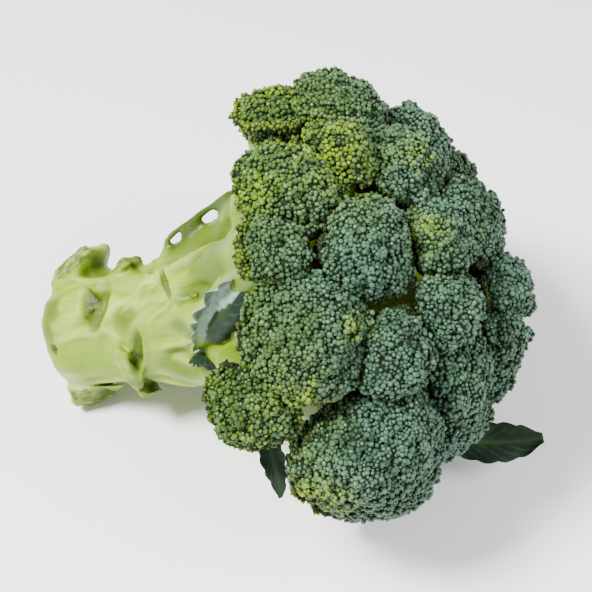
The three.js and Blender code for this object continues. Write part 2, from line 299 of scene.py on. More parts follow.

# %% [markdown]
# ## Colours of the buds
# A closed bud is dusty blue-green on top, where wax covers it, and greener lower down,
# where painted shade also makes it darker. Its little stem is yellow-green. The buds carry
# two numbers for this: `along` runs from 0 at the foot of the stem to 1 at the tip of the
# bud, and `tone` is a random number for each bud. The bed under the buds has `along` -1.

# %% Material: buds, the tips
bud_paint, t, shader = material("bud_paint")
where = t.node("ShaderNodeTexCoord").outputs["Object"]
along, tone, patch = t.attribute("along"), t.attribute("tone"), t.attribute("patch")
# The heads far from the stalk are bluer, in soft patches
across_head = t.node("ShaderNodeSeparateXYZ", {0: where}).outputs[0]
uneven = t.math("MULTIPLY", t.math("SUBTRACT", t.noise(where, 30.0, 3.0, 0.5), 0.5), 1.6)
bluer = t.math("ADD", t.span(across_head, -0.02, 0.05), uneven, clamp=True)
darker = t.blend(bluer, rgb(0.024, 0.057, 0.003), rgb(0.017, 0.049, 0.025))
lighter = t.blend(bluer, rgb(0.056, 0.116, 0.007), rgb(0.049, 0.112, 0.067))
dusty = t.blend(t.span(tone, 0.1, 0.9), darker, lighter)
fresh = t.blend(tone, rgb(0.085, 0.155, 0.002), rgb(0.170, 0.265, 0.003))
tips = t.blend(t.math("MULTIPLY", patch, t.span(tone, 0.22, 0.62)), dusty, fresh)
print("colours of the tips:", len(t.tree.nodes), "nodes")

# %% [markdown]
# ## Stems, gaps and wax
# Below its tip a bud is painted darker fast, which stands in for the shade its neighbours
# cast. The little stems show yellow-green in the fresh patches. Elsewhere the stems and the
# bed are painted nearly black, as painted shade in the gaps, and the valleys between the
# domes get painted shade too. Wax is pale and dull, and it lies on the tips only, in uneven
# patches.

# %% Material: buds, stems and wax
# Painted shade: a near-black for low on each bud, and a dark green for the valleys between domes
GAP_SHADE, VALLEY_SHADE = rgb(0.002, 0.006, 0.001), rgb(0.006, 0.016, 0.005)
skin = t.blend(t.span(along, 0.40, 0.88), GAP_SHADE, tips)
stem = t.blend(t.noise(where, 600.0), rgb(0.10, 0.18, 0.003), rgb(0.20, 0.31, 0.008))
# Painted shade: the stems and the bed stay nearly black except where a fresh patch shows them
lit = t.math("MULTIPLY", patch, t.span(along, -0.6, -0.1))
stem = t.blend(lit, rgb(0.004, 0.010, 0.001), stem)
skin = t.blend(t.span(along, 0.25, 0.5), stem, skin)
# Painted shade darkens the valleys between the domes
skin = t.blend(t.math("MULTIPLY", t.attribute("valley"), 0.5), skin, VALLEY_SHADE)
waxy = t.math("MULTIPLY", use(t, bloom, Place=where, Amount=0.45), t.span(along, 0.7, 1.0))
wax = t.blend(bluer, rgb(0.095, 0.180, 0.040), rgb(0.100, 0.205, 0.155))
t.link(t.blend(waxy, skin, wax), shader.inputs["Base Color"])
t.link(t.span(along, 0.3, 0.9, 0.85, 0.42), shader.inputs["Roughness"])
shader.inputs["Specular IOR Level"].default_value = 0.25
print("bud paint has", len(t.tree.nodes), "nodes")

# %% [markdown]
# ## Finding where light gets in
# Buds grow only where light reaches, so the deep sides of the heads stay bare. A fan of
# rays from a point finds this: the share of them that meets nothing within a short sight
# tells how open the point is. A search tree over all the faces makes the rays fast.

# %% Rays that find open places
SIGHT = 11 * MM
RAY_COUNT, RAY_SPREAD, RAY_LIFT = 14, 72, 0.35 * MM
GOLDEN_ANGLE = 2.39996


def search_tree(meshes):
    """One search tree of these meshes, for the rays."""
    points, faces = [], []
    for mesh in meshes:
        start = len(points)
        points += [v.co.copy() for v in mesh.vertices]
        faces += [[start + i for i in p.vertices] for p in mesh.polygons]
    return BVHTree.FromPolygons(points, faces)


def fan_of_rays(count, widest):
    """Directions spread evenly in a cone round +Z."""
    rays = []
    for i in range(count):
        z = 1 - (i + 0.5) / count * (1 - math.cos(math.radians(widest)))
        turn = i * GOLDEN_ANGLE
        flat = math.sqrt(1 - z * z)
        rays.append(Vector((flat * math.cos(turn), flat * math.sin(turn), z)))
    return rays


rays = fan_of_rays(RAY_COUNT, RAY_SPREAD)


def openness(points, normals, solid):
    """The share of the rays from each point that the solid doesn't stop."""
    found = np.zeros(len(points))
    for i, (p, n) in enumerate(zip(points, normals)):
        normal = Vector(n)
        turn = normal.to_track_quat("Z", "Y")
        start = Vector(p) + normal * RAY_LIFT
        free = sum(solid.ray_cast(start, turn @ ray, SIGHT)[0] is None for ray in rays)
        found[i] = free / len(rays)
    return found


print(len(rays), "rays, up to", RAY_SPREAD, "degrees off the normal")

# %% [markdown]
# ## Fresh patches
# Here and there the buds have begun to part, and yellow-green shows between them. Each
# such patch is a direction from the fork and a reach, and it fades softly at its edge.

# %% Patches where the bud stems show
def facing_of(node):
    """The middle of a head, and the direction from the fork to it."""
    centre = Vector(points_of(copies[node]).mean(0))
    return centre, (centre - FORK).normalized()


# Places where the little bud stems show yellow-green, as polar, turn, reach in mm
BARE = [(44, 6, 14), (38, 55, 5), (50, 70, 9), (58, 78, 8), (62, 345, 8), (56, 100, 12),
        (48, 128, 7), (30, 350, 7), (24, 20, 6), (57, 20, 7), (66, 100, 7)]


def bare_patches(points):
    """How strongly the bud stems show, from 0 to 1, at each point."""
    away = points - np.array(FORK)
    ray = away / np.linalg.norm(away, axis=1)[:, None]
    most = np.zeros(len(points))
    for polar, turn, reach in BARE:
        angle = np.arccos(np.clip(ray @ np.array(outward(polar, turn)), -1, 1))
        distance = angle * np.linalg.norm(away, axis=1) / MM
        most = np.maximum(most, np.exp(-(distance / reach) ** 2))
    return most


print(len(BARE), "fresh patches")

# %% [markdown]
# ## The outline of the crown
# The heads of a tight crown are pressed together, so the folds between them are shallower
# than between plain balls. The outline is a soft average of how far the open points lie
# from the fork. Points in a fold move most of the way out to it, and points deep inside
# stay where they are. The high power keeps the average close to the outermost points.

# %% Outline of the crown
FILL, FILL_DEPTH, KERNEL = 0.86, 13 * MM, 6.5 * MM
SEEN, OUTER = 0.35, 8


def rays_from_fork(points):
    """The direction and the distance of each point from the fork."""
    away = points - np.array(FORK)
    reach = np.linalg.norm(away, axis=1)
    return away / reach[:, None], reach


crown = np.concatenate([points_of(copies[node]) for node in heads])
solid = search_tree(copies.values())
crown_open = np.concatenate([openness(points_of(copies[node]), normals_of(copies[node]), solid)
                             for node in heads])
crown_rays, crown_reach = rays_from_fork(crown[crown_open > SEEN])


def filled(points):
    """Lifts the points in the folds between heads towards the crown's smooth outline."""
    ray, reach = rays_from_fork(points)
    apart = np.clip(2 - 2 * ray @ crown_rays.T, 0, None) * (reach[:, None] / KERNEL) ** 2
    weight = np.exp(-apart / 2) + 1e-12
    outline = ((weight @ crown_reach ** OUTER) / weight.sum(1)) ** (1 / OUTER)
    lack = np.clip(outline - reach, 0, None)
    near = np.clip((FILL_DEPTH - lack) / (0.4 * FILL_DEPTH), 0, 1)
    return points + ray * (FILL * lack * near * near * (3 - 2 * near))[:, None]


print("the outline rests on", len(crown_rays), "open points")

# %% [markdown]
# ## The beds
# A bed is what the buds of one head stand on. It starts as a copy of its CAD node, a
# subdivision surface rounds it, its folds are filled, and low lumps make it uneven,
# because the buds of a head stand in bunches.

# %% Beds: round and lumpy
ROUND_LEVELS = 2
LUMP_HEIGHT, LUMP_SIZE, LUMP_SEED = 1.7 * MM, 12, 11
beds = {}
for node in heads:
    obj = new_object(node.replace("bud_head", "buds"), copies[node].copy())
    rounder = obj.modifiers.new("rounder", "SUBSURF")
    rounder.levels = rounder.render_levels = ROUND_LEVELS
    baked(obj)
    points = filled(points_of(obj.data))
    lumps = LUMP_HEIGHT * bumps(points, LUMP_SIZE, LUMP_SEED)
    set_points(obj.data, points + normals_of(obj.data) * lumps[:, None])
    beds[node] = obj
print("beds:", sum(len(o.data.polygons) for o in beds.values()), "faces")

# %% [markdown]
# ## What each place on a bed is like
# Two values go on every bed for the steps that follow. `open` says how much light a place
# gets, and so whether buds grow there. `patch` says how fresh it is: the patches above,
# and the flanks of the heads, most of all near the stalk. Open places sink a little, to
# make room for the buds.

# %% Beds: open and fresh places
BUD_DEPTH = 0.6 * MM
FLANK, FLANK_FRESH = 0.35, 1.4
stalks = [mesh for node, mesh in copies.items() if node not in beds]
solid = search_tree([obj.data for obj in beds.values()] + stalks)
shares = []
for node, obj in beds.items():
    points, normals = points_of(obj.data), normals_of(obj.data)
    open_to_air = openness(points, normals, solid)
    centre, facing = facing_of(node)
    near_stalk = np.clip((20 - points[:, 0] / MM) / 50, 0.12, 1)
    side = np.clip(FLANK - normals @ np.array(facing), 0, 1) * FLANK_FRESH * near_stalk
    write(obj.data, "open", open_to_air)
    write(obj.data, "patch", np.clip(bare_patches(points) + side, 0, 1))
    sunk = BUD_DEPTH * np.clip(open_to_air * 1.6, 0, 1)
    set_points(obj.data, points - normals * sunk[:, None])
    shares.append(open_to_air.mean())
print("openness of the beds: mean", round(float(np.mean(shares)), 2))

# %% [markdown]
# ## One bud
# A closed bud is a small blunt bead on a stem. It is drawn once: two rings, half a step
# round from each other, and a point at each end. It has only twenty faces, because the
# head carries some forty-five thousand of them.

# %% Bud mesh
BUD_SIDES = 5
# Height, radius and `along` of the two rings, then height and `along` of the ends, in mm
BUD_RINGS = [(0.12, 0.88, 0.46), (0.74, 0.70, 0.82)]
BUD_FOOT, BUD_TIP = (-0.9, 0.1), (1.14, 1.0)


def drawn_bud(rings, foot, tip, sides):
    """Points, faces and `along` of a bud that stands on Z."""
    points, along = [(0, 0, foot[0] * MM)], [foot[1]]
    for k, (height, radius, share) in enumerate(rings):
        for i in range(sides):
            turn = 2 * math.pi * (i + 0.5 * k) / sides
            points.append((radius * math.cos(turn) * MM, radius * math.sin(turn) * MM,
                           height * MM))
            along.append(share)
    points.append((0, 0, tip[0] * MM))
    along.append(tip[1])
    low, high, last = 1, 1 + sides, len(points) - 1
    faces = []
    for i in range(sides):
        j = (i + 1) % sides
        faces += [(0, low + j, low + i), (last, high + i, high + j),
                  (low + i, low + j, high + i), (low + j, high + j, high + i)]
    return points, faces, along


points, faces, along_values = drawn_bud(BUD_RINGS, BUD_FOOT, BUD_TIP, BUD_SIDES)
bud_mesh = mesh_from("bud", points, faces)
write(bud_mesh, "along", along_values)
bud = new_object("bud_pattern", bud_mesh)
bud.hide_render = bud.hide_viewport = True
print("a bud has", len(bud_mesh.polygons), "faces")

# %% [markdown]
# ## A tree that grows buds
# Thousands of small things are placed best by Geometry Nodes. The tree is given a bed, a
# bud and a few sizes by name, so that one tree serves all the heads. These helpers read
# and write values on the mesh, draw a random number for each point, and add vectors.

# %% Geometry Nodes: inputs and helpers
bud_field = bpy.data.node_groups.new("Bud field", "GeometryNodeTree")
for label, kind in (("Bed", "NodeSocketGeometry"), ("Bud", "NodeSocketObject"),
                    ("Spacing", "NodeSocketFloat"), ("Dome size", "NodeSocketFloat"),
                    ("Dome height", "NodeSocketFloat"), ("Least open", "NodeSocketFloat"),
                    ("Seed", "NodeSocketInt"), ("Material", "NodeSocketMaterial")):
    bud_field.interface.new_socket(label, in_out="INPUT", socket_type=kind)
bud_field.interface.new_socket("Geometry", in_out="OUTPUT", socket_type="NodeSocketGeometry")
t = Tree(bud_field)
given = t.node("NodeGroupInput").outputs


def named(name):
    return t.node("GeometryNodeInputNamedAttribute", {"Name": name},
                  data_type="FLOAT").outputs[0]


def store(geometry, name, value, domain="POINT"):
    return t.node("GeometryNodeStoreNamedAttribute", {
        "Geometry": geometry, "Name": name, "Value": value},
        data_type="FLOAT", domain=domain).outputs[0]


def random(low, high, seed):
    made = t.node("FunctionNodeRandomValue", data_type="FLOAT")
    made.inputs[2].default_value, made.inputs[3].default_value = low, high
    t.link(t.math("ADD", given["Seed"], seed), made.inputs["Seed"])
    return made.outputs[1]


def vector(operation, a, b):
    made = t.node("ShaderNodeVectorMath", {0: a}, operation=operation)
    t.link(b, made.inputs["Scale" if operation == "SCALE" else 1])
    return made.outputs[0]


print("the tree is given", len(given) - 1, "inputs")

# %% [markdown]
# ## Domes on the bed
# The buds of a head stand in small domes with valleys between them. A Voronoi texture
# gives the cells, and its distance to the edge raises each cell into a dome. Noise bends
# the cells, so that the valleys wander. Each dome also gets a random tone of its own.

# %% Geometry Nodes: domes
DOME_EDGE, VALLEY_EDGE, WATERLINE = 0.34, 0.16, 0.55
at = t.node("GeometryNodeInputPosition").outputs[0]
normal = t.node("GeometryNodeInputNormal").outputs[0]
wobble = t.node("ShaderNodeTexNoise", {"Vector": at, "Scale": 130.0, "Detail": 1.0})
shifted = vector("ADD", at, vector("SCALE", wobble.outputs["Color"],
                                   t.math("MULTIPLY", given["Dome size"], 0.6)))
voronoi = {"Vector": shifted, "Scale": t.math("DIVIDE", 1.0, given["Dome size"]),
           "Randomness": 0.85}
cells = t.node("ShaderNodeTexVoronoi", voronoi, voronoi_dimensions="3D", feature="F1")
edges = t.node("ShaderNodeTexVoronoi", voronoi, voronoi_dimensions="3D",
               feature="DISTANCE_TO_EDGE").outputs["Distance"]
tone_of_dome = t.node("FunctionNodeSeparateColor", {"Color": cells.outputs["Color"]}).outputs[0]
dome = t.math("SUBTRACT", t.span(edges, 0.0, DOME_EDGE), WATERLINE)
lift = t.math("MULTIPLY", dome, given["Dome height"])
lift = t.math("MULTIPLY", lift, t.span(named("open"), 0.2, 0.6))
raised = t.node("GeometryNodeSetPosition", {
    "Geometry": given["Bed"], "Offset": vector("SCALE", normal, lift)}).outputs[0]
# `valley` makes the buds smaller in the valleys, and the bud paint uses it for painted shade
raised = store(raised, "valley", t.span(edges, 0.0, VALLEY_EDGE, 1.0, 0.0))
raised = store(raised, "dome_tone", tone_of_dome)
raised = store(raised, "along", -1.0)
raised = store(raised, "tone", 0.0)
print("domes:", len(bud_field.nodes), "nodes")

# %% [markdown]
# ## Places for the buds
# Poisson disks look like real packing: close, but in no pattern. Each point moves a little
# in or out, and leans a little off the normal of its dome, so that the buds fan out as
# they do on the plant.

# %% Geometry Nodes: a place for each bud
MOST_PER_M2 = 4.0e6
EDGE_OF_LIGHT = 0.12
RISE, LEAN = (-0.5, 0.3), 0.28
least = given["Least open"]
scatter = t.node("GeometryNodeDistributePointsOnFaces", {
    "Mesh": raised, "Distance Min": given["Spacing"], "Density Max": MOST_PER_M2,
    "Density Factor": t.span(named("open"), least, t.math("ADD", least, EDGE_OF_LIGHT)),
    "Seed": given["Seed"]}, distribute_method="POISSON")
jitter = t.math("MULTIPLY", random(*RISE, 3), MM)
bud_places = t.node("GeometryNodeSetPosition", {
    "Geometry": scatter.outputs["Points"],
    "Offset": vector("SCALE", scatter.outputs["Normal"], jitter)}).outputs[0]
lean = t.node("FunctionNodeRandomValue", data_type="FLOAT_VECTOR")
lean.inputs[0].default_value, lean.inputs[1].default_value = (-LEAN,) * 3, (LEAN,) * 3
t.link(given["Seed"], lean.inputs["Seed"])
pointing = vector("ADD", scatter.outputs["Normal"], lean.outputs[0])
stand = t.node("FunctionNodeAlignRotationToVector", {"Vector": pointing}, axis="Z").outputs[0]
spin = t.node("ShaderNodeCombineXYZ", {"Z": random(0.0, 6.283, 5)}).outputs[0]
turned_round = t.node("FunctionNodeRotateRotation", {
    "Rotation": stand, "Rotate By": spin}, rotation_space="LOCAL").outputs[0]
print("places:", len(bud_field.nodes), "nodes")

# %% [markdown]
# ## Buds on their places
# Buds differ in size and height, and those in a valley are smaller. Their tone is partly
# their own and partly that of their dome. At the end the buds become real mesh, join the
# bed and get their material.

# %% Geometry Nodes: buds
WIDTHS, TALLNESS, IN_VALLEY, OWN_TONE = (0.68, 1.24), (0.85, 1.2), 0.8, 0.6
scale = t.math("MULTIPLY", random(*WIDTHS, 9),
               t.span(named("valley"), 0.0, 1.0, 1.0, IN_VALLEY))
tall = t.math("MULTIPLY", scale, random(*TALLNESS, 11))
sizes = t.node("ShaderNodeCombineXYZ", {"X": scale, "Y": scale, "Z": tall}).outputs[0]
pattern = t.node("GeometryNodeObjectInfo", {"Object": given["Bud"], "As Instance": True})
placed = t.node("GeometryNodeInstanceOnPoints", {
    "Points": bud_places, "Instance": pattern.outputs["Geometry"],
    "Rotation": turned_round, "Scale": sizes}).outputs[0]
bud_tone = t.math("ADD", t.math("MULTIPLY", random(0.0, 1.0, 13), OWN_TONE),
                  t.math("MULTIPLY", named("dome_tone"), 1 - OWN_TONE))
placed = store(placed, "tone", bud_tone, "INSTANCE")
plain = t.node("GeometryNodeRealizeInstances", {"Geometry": placed}).outputs[0]
whole = t.node("GeometryNodeJoinGeometry")
t.link(plain, whole.inputs[0])
t.link(raised, whole.inputs[0])
coloured = t.node("GeometryNodeSetMaterial", {
    "Geometry": whole.outputs[0], "Material": given["Material"]}).outputs[0]
t.link(coloured, t.node("NodeGroupOutput").inputs[0])
print("bud field:", len(bud_field.nodes), "nodes")

# %% [markdown]
# ## Growing the buds
# The tree runs on one bed after another, each with its own seed, and the result is kept as
# plain mesh. The spacing is a little less than a bud is wide, so the buds press together.

# %% Buds on every head
BUD_SPACING = 0.96 * MM
DOME_SIZE, DOME_HEIGHT = 5.6 * MM, 2.1 * MM
LEAST_OPEN = 0.06


def socket_id(tree, label):
    """The identifier of a named input, which a modifier knows it by."""
    return next(s.identifier for s in tree.interface.items_tree
                if s.name == label and s.in_out == "INPUT")


def grow(obj, tree, **inputs):
    """Runs a Geometry Nodes tree on an object and keeps the result as plain mesh."""
    modifier = obj.modifiers.new("grow", "NODES")
    modifier.node_group = tree
    for label, value in inputs.items():
        modifier[socket_id(tree, label.replace("_", " "))] = value
    return baked(obj)


total = 0
for number, (node, obj) in enumerate(beds.items()):
    bed_faces = len(smooth(obj.data).polygons)
    grow(obj, bud_field, Bud=bud, Spacing=BUD_SPACING, Dome_size=DOME_SIZE,
         Dome_height=DOME_HEIGHT, Least_open=LEAST_OPEN, Seed=number, Material=bud_paint)
    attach(obj, "root")
    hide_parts(node)
    total += (len(obj.data.polygons) - bed_faces) // len(bud_mesh.polygons)
print(total, "buds;", sum(len(o.data.polygons) for o in beds.values()), "faces")

# %% [markdown]
# ## The stalk and its branches
# The stalk, the stems and the twigs under each bud head are one grown body, so they become
# one mesh. Its parts are made first: this cell draws closed tubes, and the tapered twigs
# that fork from a stem to the underside of its head.

# %% Stalk: tubes and twigs
TWIG_POINTS = 7


def tube_mesh(path, radii, sides=8):
    """A closed round tube along points, as points and faces."""
    points, faces = [], []
    for k, p in enumerate(path):
        ahead = path[min(k + 1, len(path) - 1)] - path[max(k - 1, 0)]
        turn = ahead.to_track_quat("Z", "Y")
        for i in range(sides):
            a = 2 * math.pi * i / sides
            points.append(p + turn @ Vector((math.cos(a), math.sin(a), 0)) * radii[k])
    rings = len(path)
    for k in range(rings - 1):
        for i in range(sides):
            j = (i + 1) % sides
            faces.append((k * sides + i, k * sides + j, (k + 1) * sides + j, (k + 1) * sides + i))
    faces.append(tuple(reversed(range(sides))))
    faces.append(tuple(range((rings - 1) * sides, rings * sides)))
    return points, faces


def twigs_under(node, count, rnd):
    """Forks that reach from a head's stem to the underside of its bed."""
    pts = points_of(copies[node])
    centre, facing = facing_of(node)
    wide = np.linalg.norm(pts - np.array(centre), axis=1).max()
    foot = centre - facing * wide * 1.05
    level = facing.orthogonal().normalized()
    found = []
    for i in range(count):
        turn = Matrix.Rotation(2 * math.pi * (i + rnd.random() * 0.6) / count, 3, facing)
        side = turn @ level
        goal = centre + side * wide * (0.55 + 0.2 * rnd.random()) - facing * wide * 0.12
        knee = foot + facing * wide * 0.45 + side * wide * 0.12
        path = interpolate_bezier(foot, knee, knee.lerp(goal, 0.5), goal, TWIG_POINTS)
        radii = [wide * (0.15 - 0.065 * k / (TWIG_POINTS - 1)) for k in range(TWIG_POINTS)]
        found.append(tube_mesh(path, radii))
    return found


print("a twig is a tube through", TWIG_POINTS, "points")

# %% [markdown]
# ## Branches and stumps
# A branch is a tube along a smooth curve that passes through a few knots. The stump of a
# trimmed leaf is an oval block, cut off flat, that is sunk into the stalk. `add_part`
# gathers everything in one list of points and faces.

# %% Stalk: branches and stumps
points, faces = [], []


def add_part(more_points, more_faces):
    start = len(points)
    points.extend(more_points)
    faces.extend([[start + i for i in f] for f in more_faces])


def smooth_path(knots, steps):
    """Points of a Catmull-Rom curve through the knots, and where each lies from 0 to 1."""
    ends = [knots[0] * 2 - knots[1], *knots, knots[-1] * 2 - knots[-2]]
    found, shares = [], []
    for k in range(len(knots) - 1):
        a, b, c, d = ends[k:k + 4]
        for i in range(steps + (k == len(knots) - 2)):
            u = i / steps
            found.append(0.5 * (2 * b + (c - a) * u + (2 * a - 5 * b + 4 * c - d) * u * u
                                + (3 * b - a - 3 * c + d) * u ** 3))
            shares.append((k + u) / (len(knots) - 1))
    return found, shares


def branch(knots, widths, steps=6):
    """A tapering tube through the knots; widths are its half sizes in mm along it."""
    path, shares = smooth_path(knots, steps)
    return tube_mesh(path, np.interp(shares, np.linspace(0, 1, len(widths)), widths) * MM, 12)


OVAL = 14


def chunk(low, high, half_along, half_round):
    """An oval stump from one place to another, cut off flat; half sizes in mm."""
    a, b = place(*low), place(*high)
    level = (b - a).cross(AXIS).normalized()
    rise = (b - a).normalized()
    ahead = level.cross(rise)
    points, faces = [], []
    for end, size in ((a, 1.15), (b, 1.0)):
        for i in range(OVAL):
            turn = 2 * math.pi * i / OVAL
            points.append(end + (ahead * half_along * math.cos(turn)
                                 + level * half_round * math.sin(turn)) * size * MM)
    for i in range(OVAL):
        j = (i + 1) % OVAL
        faces.append((i, j, OVAL + j, OVAL + i))
    return points, faces + [tuple(reversed(range(OVAL))), tuple(range(OVAL, 2 * OVAL))]


print("a stump has", len(chunk((0, 0, 10), (0, 0, 20), 5, 5)[1]), "faces")

# %% [markdown]
# ## Shoulders, threads and chunks
# The stalk widens into seven shoulders before it forks, and each shoulder bears one to
# three of the heads at the rim. Two thin things also grow on it: a leaf stalk on the upper
# side, and a ragged thread of skin. Two stumps of thick leaves stand near the butt.

# %% Stalk: what grows on it
# The turn of each shoulder of the stalk, its knee and top, and the rim heads it bears
SHOULDERS = [(322, (47, 16.5), (67, 25), (1, 2, 14)), (6, (50, 15), (66, 22), (3,)),
             (50, (50, 13), (64, 19), (4, 5)), (106, (50, 14), (66, 20), (6, 7, 8)),
             (165, (52, 14), (68, 20), (9, 10)), (232, (50, 14), (66, 21), (11, 12)),
             (280, (50, 15), (66, 22), (13,))]
# The knots of a thin thing on the stalk, and its half sizes along it
THREADS = [([(42, 331, 20), (46, 330, 28), (51, 330, 31.5), (57, 331, 34)], [1.6, 1.1, 1.0, 1.2]),
           ([(9, 324, 27), (6, 322, 31), (3.5, 319, 31.5), (4.5, 317, 33)], [1.5, 1.1, 0.9, 0.8])]
# From where to where a stump stands, and its half sizes along and round the stalk
CHUNKS = [((7, 327, 12), (10.5, 327, 28.2), 7.6, 9), ((4.5, 141, 12), (4.8, 142, 27.0), 6.8, 8.3)]

print(len(SHOULDERS), "shoulders,", len(THREADS), "threads and", len(CHUNKS), "stumps")

# %% [markdown]
# ## Gathering the parts
# The copies of the CAD stems are swollen a little, so that they meet. Twigs go under the
# heads of the crown, and a branch runs from each shoulder to every head that it bears.
# The parts pass through each other here, which the next step puts right.

# %% Stalk: gather the parts
SWELL = 0.35 * MM
CROWN_HEADS, TWIGS = 26, 6
for node in ["main_stalk", "side_shoot"] + stems:
    mesh = copies[node]
    fat = points_of(mesh) + normals_of(mesh) * SWELL
    add_part([Vector(p) for p in fat], [list(p.vertices) for p in mesh.polygons])
for node in heads[:CROWN_HEADS]:
    for part in twigs_under(node, TWIGS, rng):
        add_part(*part)
for turn, knee, top, borne in SHOULDERS:
    for number in borne:
        centre, facing = facing_of(f"bud_head_{number:02d}")
        knots = [place(34, turn, 6), place(knee[0], turn, knee[1]), place(top[0], turn, top[1]),
                 centre - facing * 19 * MM, centre - facing * 6 * MM]
        add_part(*branch(knots, [8, 8.8, 7.6, 5.4, 5.4]))
for knots, widths in THREADS:
    add_part(*branch([place(*k) for k in knots], widths, 5))
for low, high, half_along, half_round in CHUNKS:
    add_part(*chunk(low, high, half_along, half_round))
print("gathered:", len(points), "points")

# %% [markdown]
# ## One skin
# A voxel remesh keeps only the outer surface of all that passes through each other, and
# makes it one closed skin. Smoothing then takes off the steps and fills the forks, which
# gives the soft webs that a grown stalk has between its branches.

# %% Stalk: one skin
VOXEL = 1.12 * MM
stalk = new_object("stalk_and_branches", mesh_from("stalk", points, faces))
remesh = stalk.modifiers.new("one skin", "REMESH")
remesh.mode, remesh.voxel_size = "VOXEL", VOXEL
soften = stalk.modifiers.new("soften", "SMOOTH")
soften.factor, soften.iterations = 0.5, 12
baked(stalk)
print("stalk and branches:", len(stalk.data.polygons), "faces")

# %% [markdown]
# ## Measuring on the stalk
# The marks on the stalk are placed by height and turn, so every point of the skin is
# measured that way too. `round_mm` turns an angle into millimetres on the skin, and
# `spots` tells how near each point is to some middles.

# %% Stalk: places on its skin
STALK_RADIUS = 20.7


def stalk_place(points):
    """Height along the stalk, turn round it in degrees and distance out, all in mm."""
    away = (points - np.array(BUTT)) / MM
    height = away @ np.array(AXIS)
    up, side = away @ np.array(UP), away @ np.array(SIDE)
    return height, np.degrees(np.arctan2(side, up)), np.hypot(up, side)


def around(turn, middle):
    """How far round a point is from a turn, from -180 to 180 degrees."""
    return (turn - middle + 180) % 360 - 180


def round_mm(turn, middle, radius=STALK_RADIUS):
    """The same in mm, on a round of this radius."""
    return np.radians(around(turn, middle)) * radius


def spots(points, middles):
    """From 0 to 1, how near each point is to the nearest of these middles."""
    most = np.zeros(len(points))
    for middle, reach in middles:
        away = np.linalg.norm(points - np.array(place(*middle)), axis=1) / (reach * MM)
        most = np.maximum(most, np.exp(-away ** 4))
    return most


measured = stalk_place(points_of(stalk.data))
print("the skin runs from", *[round(float(f(measured[0]))) for f in (np.min, np.max)],
      "mm along the stalk")

# %% [markdown]
# ## Cutting the stumps
# A knife took each thick leaf off with one slanting cut. The cut is a surface over the
# stalk: so far out at each height, and lower towards one side. Whatever stands past it
# moves in to it, and what is left leans up the stalk, as the leaf did.

# %% Stalk: slanting cuts
CUT_TOP = 22
# Turn of the stump, half width in degrees, the greatest distance out at some heights, how
# far it leans up for each mm out, and how much lower the cut gets for each mm round
TRIMS = [(328, 34, [(-3, 23), (0, 25), (12, 31.5), (20, 33)], 0.3, 0.55),
         (142, 40, [(-3, 27.5), (1, 27.5), (8, 25), (12, 22), (16, 20.8)], 0.0, -0.35)]


def cut_height(height, turn, middle, limits, tilt):
    """How far out the cut face of a stump lies, in mm, over each place on the stalk."""
    fall = tilt * round_mm(turn, middle)
    return np.maximum(np.interp(height, *zip(*limits)) - fall, STALK_RADIUS + 0.3)


def trimmed(points):
    """The points, with the stumps cut off on their slant."""
    height, turn, out = stalk_place(points)
    level = (points - np.array(BUTT) - height[:, None] * MM * np.array(AXIS)) / out[:, None]
    for middle, half, limits, lean, tilt in TRIMS:
        inside = (np.abs(around(turn, middle)) < half) & (height < CUT_TOP)
        excess = np.clip(out - cut_height(height, turn, middle, limits, tilt), 0, None) * inside
        leaning = lean * MM * np.clip(out - excess - 22, 0, None) * inside
        points = points - level * excess[:, None] + leaning[:, None] * np.array(AXIS)
    return points


normals = normals_of(stalk.data)
points = trimmed(points_of(stalk.data))
height, turn, out = stalk_place(points)
print("highest cut face:", round(float(out[height < CUT_TOP].max()), 1), "mm from the axis")

# %% [markdown]
# ## Ridges and furrows
# Strands from every leaf run down inside the stalk and stand out as soft ridges, and
# between the branches the skin sinks into furrows. Each is a line from one place to
# another, which wanders a little. All the sculpting adds up in `push`, the distance that
# each point moves along its normal, in mm.

# %% Stalk: ridges and furrows
# Start and end as height and turn, then how high in mm
RIDGES = [((44, 18), (78, 350), 1.1), ((46, 14), (34, 40), 0.9), ((49, 86), (66, 84), 1.1),
          ((26, 46), (33, 66), 0.9), ((3, 350), (24, 356), 1.0), ((6, 60), (26, 52), 0.7),
          ((8, 118), (30, 114), 0.9), ((36, 120), (62, 128), 0.9), ((20, 330), (46, 338), 1.0),
          ((46, 46), (52, 38), 0.9), ((52, 38), (56, 30), 0.9), ((45, 74), (72, 75), 0.9),
          ((10, 180), (44, 186), 1.0), ((20, 246), (60, 250), 1.0), ((22, 300), (58, 300), 1.0)]
# The same, and how deep
FURROWS = [((50, 350), (80, 342), 1.6), ((54, 32), (80, 26), 1.5), ((47, 84), (74, 84), 1.3),
           ((50, 130), (74, 134), 1.6), ((50, 200), (76, 200), 1.8), ((50, 258), (76, 256), 1.8),
           ((50, 302), (76, 302), 1.6)]
RIDGE_WIDTH, FURROW_WIDTH, WANDER = 1.1, 2.0, 6.0


def ridge_distance(height, turn, start, end):
    """How far each point is from a line on the skin, in mm, and where along it."""
    a = np.array([start[0], 0.0])
    span = np.array([end[0], round_mm(end[1], start[1])]) - a
    at = np.stack([height, round_mm(turn, start[1])], 1) - a
    share = np.clip(at @ span / (span @ span), 0, 1)
    return np.linalg.norm(at - share[:, None] * span, axis=1), share


